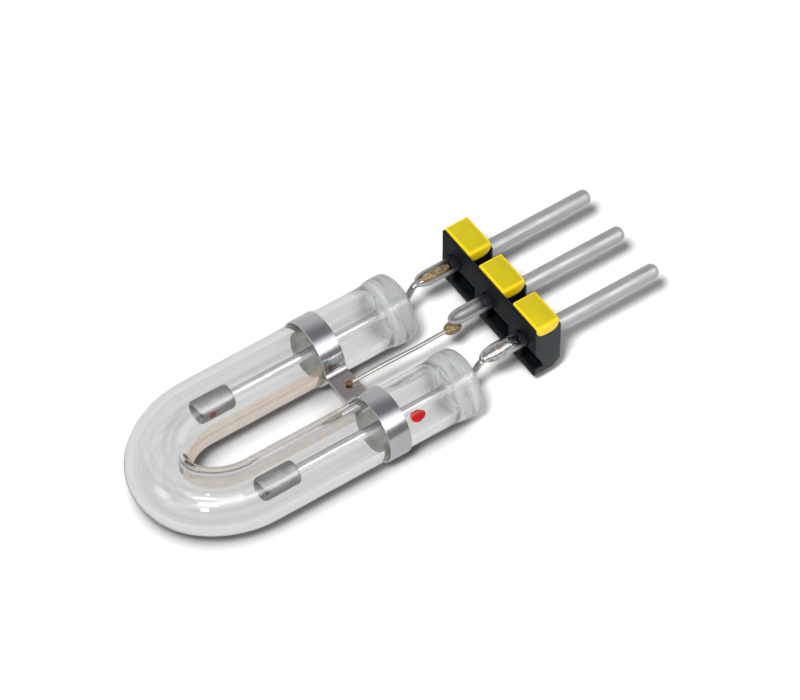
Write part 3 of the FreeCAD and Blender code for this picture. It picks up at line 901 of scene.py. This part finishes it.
def lump(centre, radii, unevenness, seed, rows=32, columns=40):
    """An ellipsoid with its radius lumped: 1 + unevenness * a sum of sines of the two angles."""
    rise = np.linspace(-math.pi / 2, math.pi / 2, rows)[:, None]
    turn = full_turn(columns)
    swing = (np.sin(2 * turn + seed) * np.cos(rise) + 0.7 * np.sin(3 * turn + 1.7 * seed) * np.cos(rise) ** 2
             + 0.8 * np.sin(2.5 * rise + seed))
    size = 1 + unevenness * swing
    ball = stacked(np.cos(rise) * np.cos(turn), np.cos(rise) * np.sin(turn), np.sin(rise))
    return np.array(centre) + ball * size[..., None] * np.array(radii)


class FLASH_OT_contacts(Operator):
    """The three contacts: an open solder cup, and a long pin with a rounded nose"""
    bl_idname = "flash.contacts"
    bl_label = "Contacts"

    def execute(self, context):
        metal, colours = settings("metal", "colours")

        # Painted shade: the contacts darken to blue-black where they run into the black block
        def root(tree):
            x = axes(tree)["X"]
            enter = ramp(tree, x, 0.0, 0.93, BLOCK_X[0] - 1.7 * MM, BLOCK_X[0] - 0.3 * MM)
            return times(tree, enter, ramp(tree, x, 1.0, 0.0, BLOCK_X[0], BLOCK_X[1]))

        tin = metal_material("dull_tin", colours.pin, 0.60, (1, 10, 10), 260.0, 0.003 * MM,
                             ((0.05, 0.06, 0.08), root))
        for name, number in PLACES.items():
            y = number * PITCH
            piece = skin("contact_%s_tinned" % name, [self.cup(y, metal), self.pin(y, metal)], 40.0)
            finish_piece(piece, tin, "tinned_pin", "contact_" + name)
        return {"FINISHED"}

    def pin(self, y, metal):
        """A turned pin from inside the block to its rounded nose."""
        start, end = sum(BLOCK_X) / 2, cad_bounds[1][0]
        return turned(bar_profile(start, end, metal.pin_radius, [0.1 * MM, 0.75 * MM], 12), y, PIN_Z)

    def cup(self, y, metal):
        """A spoon-tipped trough, open upwards, that runs back into the block.

        Its outer and inner radius follow half an ellipse over the tip, radius * sqrt(1 - (1 - t)^2),
        and are cut off at the rim's height; the wall's two sides meet in a low rounded rim.
        """
        start = extent("contact_trigger", 0)[0]
        outer, inner = metal.cup_radius, metal.cup_radius - metal.cup_wall
        tip, rim, lip = 1.9 * MM, 0.15 * MM, 0.05 * MM
        mouth = BLOCK_X[0] - start - 0.5 * MM
        run = np.concatenate([tip * (1 - np.cos(np.linspace(0, math.pi / 2, 28))),
                              np.linspace(tip, mouth, 12)[1:], [mouth, BLOCK_X[0] - start + MM]])
        wall = metal.cup_wall

        def bulge(length, at):
            along = np.clip(at / length, 0, 1)
            return np.sqrt(np.clip(1 - (1 - along) ** 2, 0, 1))

        def trough(radius):
            rise = np.arcsin(np.clip((rim - lip) / np.maximum(radius, 1e-9), 0, 1))[:, None]
            return radius[:, None, None] * circle(rise - np.linspace(0, 1, 30) * (math.pi + 2 * rise))

        out_radius = outer * bulge(tip, run)
        in_radius = inner * bulge(tip - wall, run - wall)
        in_radius[-2:] = 0.0
        out_arc, in_arc = trough(out_radius), trough(in_radius)[:, ::-1]
        closed = in_radius <= rim - lip
        in_arc[closed] = stacked(0.0, np.minimum(rim - lip, out_radius))[closed][:, None]
        bow = np.linspace(0, math.pi, 9)[None, 1:-1, None]
        sweep = (1 - np.cos(bow)) / 2
        lift = np.array([0.0, 1.0]) * lip * np.sin(bow) * np.where(out_radius > rim, 1.0, 0.0)[:, None, None]
        far_rim = out_arc[:, -1:] * (1 - sweep) + in_arc[:, :1] * sweep + lift
        near_rim = in_arc[:, -1:] * (1 - sweep) + out_arc[:, :1] * sweep + lift
        section = np.concatenate([out_arc, far_rim, in_arc, near_rim], axis=1)
        return carried(stacked(start + run, y, PIN_Z + 0.7 * MM), ACROSS, UP, section)


class FLASH_OT_solder(Operator):
    """The three solder joints, two of them stained by flux"""
    bl_idname = "flash.solder"
    bl_label = "Solder"

    def execute(self, context):
        colours, = settings("colours")
        joints = (("anode", "bright_solder", 0.56, 0.66, "solder", 0.97, 1.0),
                  ("trigger", "burnt_solder", 0.10, 0.20, "fluxed_solder", (0.95, 0.85, 0.72), 2.0),
                  ("cathode", "fluxed_solder", 0.30, 0.45, "fluxed_solder", 0.97, 4.0))
        for name, finish, flux_low, flux_high, slot, share, seed in joints:
            low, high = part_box("solder_" + name)
            grid = lump((low + high) / 2, np.array((high - low) / 2) * share, 0.03, seed)
            finish_piece(skin("solder_%s_joint" % name, [grid]),
                         solder_material(finish, colours, flux_low, flux_high), slot, "solder_" + name)
        return {"FINISHED"}


class FLASH_OT_spot(Operator):
    """The red spot of paint on the anode leg"""
    bl_idname = "flash.spot"
    bl_label = "Red spot"

    def execute(self, context):
        glass, colours = settings("glass", "colours")
        low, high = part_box("polarity_dot")
        centre = (low + high) / 2
        slope = math.atan2(centre.z - TUBE_Z, LEG_Y + centre.y)
        rings = np.linspace(0, 1, 14)[:, None]
        angle = full_turn(48)
        spot_radius, length_share, width_share = 0.80 * MM, 1.08, 0.86
        rim_mm, dome_mm, sunk_mm = 0.01, 0.085, 0.03
        reach = spot_radius * (1 + 0.07 * np.sin(2 * angle + 0.6) + 0.05 * np.sin(3 * angle + 2.0))
        along = rings * reach * length_share * np.cos(angle)
        round_by = rings * reach * width_share * np.sin(angle) / glass.tube_radius
        top = glass.tube_radius + MM * (rim_mm + dome_mm * np.sqrt(np.clip(1 - rings ** 4, 0, 1)))
        floor = glass.tube_radius - sunk_mm * MM
        top, under = [self.place(centre.x + along, slope + round_by, radius) for radius in (top, floor)]
        piece = skin("red_spot", [np.concatenate([top, under[::-1]])], 60.0)
        finish_piece(piece, paint_material(colours), "red_paint", "polarity_dot")
        return {"FINISHED"}

    def place(self, x, angle, radius):
        """Points at an angle round the anode leg."""
        return stacked(x, radius * np.cos(angle) - LEG_Y, radius * np.sin(angle) + TUBE_Z)


class FLASH_OT_block(Operator):
    """The black plug block and its three yellow locks, with their moulded edges rounded"""
    bl_idname = "flash.block"
    bl_label = "Plug block"

    def painted_shade(self, tree):
        """How much painted shade a place gets: more with its depth in the block's box, on the front and by
        the contacts.
        """
        low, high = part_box("plug_block")
        places = object_places(tree)
        place = axes(tree, places)
        beside = math_node(tree, "ABSOLUTE", place["Y"])
        depth = least_gap(tree, (place["X"], low.x), (high.x, place["X"]), (high.z, place["Z"]),
                          (high.y, beside))
        # Painted shade: darker with depth inside the block's box, on its front face and in a ring round each
        # contact
        deep = ramp(tree, depth, 0.0, 1.0, 0.06 * MM, 0.34 * MM)
        front = ramp(tree, place["X"], 0.72, 0.0, low.x + 0.10 * MM, low.x + 0.35 * MM)
        deep = math_node(tree, "MAXIMUM", deep, front)
        for number in PLACES.values():
            root = (low.x, number * PITCH, PIN_Z + 0.5 * MM)
            ring = near_point(tree, places, root, 0.9 * MM, 1.9 * MM)
            deep = math_node(tree, "MAXIMUM", deep, times(tree, ring, 0.92))
        return deep

    def rim(self, tree):
        """1 along the edges of a lock's top and on its ends: a short way in from the lock's box."""
        low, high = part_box("lock_trigger")
        place = axes(tree)
        number = math_node(tree, "ROUND", math_node(tree, "DIVIDE", place["Y"], PITCH))
        beside = math_node(tree, "ABSOLUTE", minus(tree, place["Y"], times(tree, number, PITCH)))
        depth = least_gap(tree, (high.y, beside), (place["X"], low.x), (high.x, place["X"]))
        return ramp(tree, depth, 0.85, 0.0, 0.10 * MM, 0.32 * MM)

    def execute(self, context):
        colours, = settings("colours")
        black = moulding_material("black_moulding", colours.block, (0.017, 0.022, 0.025), 0.42,
                                  0.006 * MM, self.painted_shade)
        yellow = moulding_material("yellow_moulding", colours.lock, (0.53, 0.42, 0.008), 0.38,
                                   0.004 * MM, None, self.rim)
        block = cad_copy("plug_block_moulded", "plug_block", 0.09 * MM)
        finish_piece(block, black, "black_moulding", "plug_block")
        for name in PLACES:
            lock = cad_copy("lock_%s_moulded" % name, "lock_" + name, 0.12 * MM, 3)
            finish_piece(lock, yellow, "yellow_moulding", "lock_" + name)
        return {"FINISHED"}


class FLASH_OT_stage(Operator):
    """The floor, the lamp, the world and the camera"""
    bl_idname = "flash.stage"
    bl_label = "Stage"

    def execute(self, context):
        stage, = settings("stage")
        towards = Vector((math.sin(stage.azimuth) * math.cos(stage.elevation),
                          -math.cos(stage.azimuth) * math.cos(stage.elevation), math.sin(stage.elevation)))
        right = Vector((math.cos(stage.azimuth), math.sin(stage.azimuth), 0))
        up = towards.cross(right)
        self.camera(stage, towards, right, up)
        self.floor(stage)
        self.key(stage, towards, right, up)
        self.world()
        context.scene.view_settings.view_transform = "Standard"
        return {"FINISHED"}

    def camera(self, stage, towards, right, up):
        """The camera at the photograph's viewing angle."""
        target = Vector((0.1 * MM, 0, TUBE_Z)) + stage.aim_right * right + stage.aim_up * up
        data = bpy.data.cameras.new("camera")
        data.lens = stage.lens
        data.sensor_width = 36
        data.clip_start = 0.01
        made = new_object("camera", data)
        turn = Matrix((right, up, towards)).transposed().to_4x4()
        made.matrix_world = Matrix.Translation(target + stage.distance * towards) @ turn
        bpy.context.scene.camera = made

    def floor(self, stage):
        """A pale floor that keeps the object's shadow, deeper where the object is close over it.

        Metal and glass show it at a plain pale tone.
        """
        size = stage.floor_size
        corners = [(-size, -size, 0), (size, -size, 0), (size, size, 0), (-size, size, 0)]
        mesh = bpy.data.meshes.new("floor")
        mesh.from_pydata(corners, [], [(0, 1, 2, 3)])
        made = new_object("floor", mesh)
        material, tree = blank_material("pale_floor")
        closeness = add_node(tree, "AmbientOcclusion", {"Distance": 5.0 * MM})
        shade = blended(tree, closeness.outputs["AO"], 0.20, 0.70, (0.20,) * 3, (0.86,) * 3)
        matt = add_node(tree, "BsdfDiffuse", {"Color": shade})
        path = add_node(tree, "LightPath")
        faint = times(tree, path.outputs["Is Camera Ray"], 0.01)
        glow = add_node(tree, "Emission", {"Color": (1, 1, 1, 1), "Strength": faint})
        both = add_node(tree, "AddShader", {0: matt.outputs[0], 1: glow.outputs[0]})
        shown = (("Is Glossy Ray", 0.85, (0.64, 0.635, 0.63, 1.0)),
                 ("Is Transmission Ray", 0.90, (0.76, 0.765, 0.76, 1.0)))
        for ray, share, tone in shown:
            pale = add_node(tree, "Emission", {"Color": tone})
            both = mix_shaders(tree, times(tree, path.outputs[ray], share), both, pale)
        made.data.materials.append(surfaced(material, both))

    def key(self, stage, towards, right, up):
        """One soft lamp up and to the left of the camera, so that shadows lie close below right."""
        direction = (towards - 0.17 * right + 0.21 * up).normalized()
        data = bpy.data.lights.new("key", "AREA")
        data.shape = "DISK"
        data.size = 0.24
        data.energy = stage.key_power
        made = new_object("key", data)
        made.matrix_world = (Matrix.Translation(direction)
                             @ direction.to_track_quat("Z", "Y").to_matrix().to_4x4())
        made.visible_glossy = False

    def band(self, tree, value, low, high, soft, step=math.radians(1)):
        """1 where a value is between two limits, counted in steps, with soft edges."""
        enter = ramp(tree, value, 0.0, 1.0, (low - soft) * step, (low + soft) * step)
        leave = ramp(tree, value, 1.0, 0.0, (high - soft) * step, (high + soft) * step)
        return times(tree, enter, leave)

    def window(self, tree, view, centre, outer, inner):
        """1 within an angle of a direction, with a soft edge."""
        facing = add_node(tree, "VectorMath", {0: view, 1: Vector(centre).normalized()},
                          operation="DOT_PRODUCT").outputs["Value"]
        return ramp(tree, facing, 0.0, 1.0, math.cos(math.radians(outer)), math.cos(math.radians(inner)))

    def world(self):
        """A grey studio: a long soft box in front with a bright tube in it, and windows to the left.

        The pattern goes by the direction's turn about X. Each row of the loop lays one tone over the
        ones before it. Glass shows the walls paler, matt surfaces get one plain level, and straight
        to the camera it's white.
        """
        world = bpy.data.worlds.new("studio")
        bpy.context.scene.world = world
        world.use_nodes = True
        tree = world.node_tree
        tree.nodes.clear()
        view = add_node(tree, "TexCoord").outputs["Generated"]
        split = add_node(tree, "SeparateXYZ", {0: view})
        ahead = times(tree, split.outputs["Y"], -1.0)
        turn = math_node(tree, "ARCTAN2", ahead, split.outputs["Z"])
        walls = blended(tree, turn, math.radians(-62), math.radians(-12),
                        (0.66, 0.66, 0.67), (0.24, 0.245, 0.26))
        path = add_node(tree, "LightPath")
        through = times(tree, path.outputs["Is Transmission Ray"], 0.85)
        walls = mix_colour(tree, through, walls, (0.70, 0.705, 0.71))
        soft_box = times(tree, ramp(tree, turn, 0.0, 1.0, math.radians(4), math.radians(38)),
                         ramp(tree, turn, 1.0, 0.0, math.radians(48), math.radians(66)))
        ends = self.band(tree, split.outputs["X"], -0.66, 0.42, 0.06, 1.0)
        bright_tube = times(tree, self.band(tree, turn, 36, 50, 3), ends)
        tone = walls
        for share, lit in ((soft_box, (1.8, 1.8, 1.81)),
                           (self.window(tree, view, (-0.86, 0.12, 0.50), 15, 8), (3.0,) * 3),
                           (bright_tube, (5.0,) * 3),
                           (self.window(tree, view, (-0.625, -0.697, 0.352), 4, 3), (22.0,) * 3),
                           (self.window(tree, view, (-0.42, -0.64, 0.64), 4, 3), (22.0,) * 3),
                           (path.outputs["Is Diffuse Ray"], (0.05, 0.05, 0.052)),
                           (path.outputs["Is Camera Ray"], (1.0,) * 3)):
            tone = mix_colour(tree, share, tone, lit)
        background = add_node(tree, "Background", {"Color": tone, "Strength": 1.0})
        output = add_node(tree, "OutputWorld")
        tree.links.new(background.outputs[0], output.inputs["Surface"])


class FLASH_PT_tube(Panel):
    """Lists the sizes, the colours and the steps that build the flash tube"""
    bl_idname = "FLASH_PT_tube"
    bl_label = "Flash tube"
    bl_space_type = "VIEW_3D"
    bl_region_type = "UI"
    bl_category = "Flash tube"

    def draw(self, context):
        for group in settings(*GROUPS):
            box = self.layout.box()
            for name in group.bl_rna.properties.keys():
                if name not in ("rna_type", "name"):
                    box.prop(group, name)
        for step in STEPS:
            self.layout.operator(step.bl_idname)


STEPS = (FLASH_OT_stage, FLASH_OT_glass, FLASH_OT_stripe, FLASH_OT_electrodes, FLASH_OT_band,
         FLASH_OT_wires, FLASH_OT_contacts, FLASH_OT_solder, FLASH_OT_spot, FLASH_OT_block)
CLASSES = tuple(GROUPS.values()) + STEPS + (FLASH_PT_tube,)


def register():
    """Registers the classes and hangs the settings on the scene."""
    for each in CLASSES:
        bpy.utils.register_class(each)
    for kind, group in GROUPS.items():
        setattr(bpy.types.Scene, "flash_" + kind, PointerProperty(type=group))


def unregister():
    """Takes the settings off the scene and unregisters the classes."""
    for kind in GROUPS:
        delattr(bpy.types.Scene, "flash_" + kind)
    for each in CLASSES[::-1]:
        bpy.utils.unregister_class(each)


def main():
    register()
    for step in STEPS:
        family, name = step.bl_idname.split(".")
        getattr(getattr(bpy.ops, family), name)()


if __name__ == "__main__":
    main()
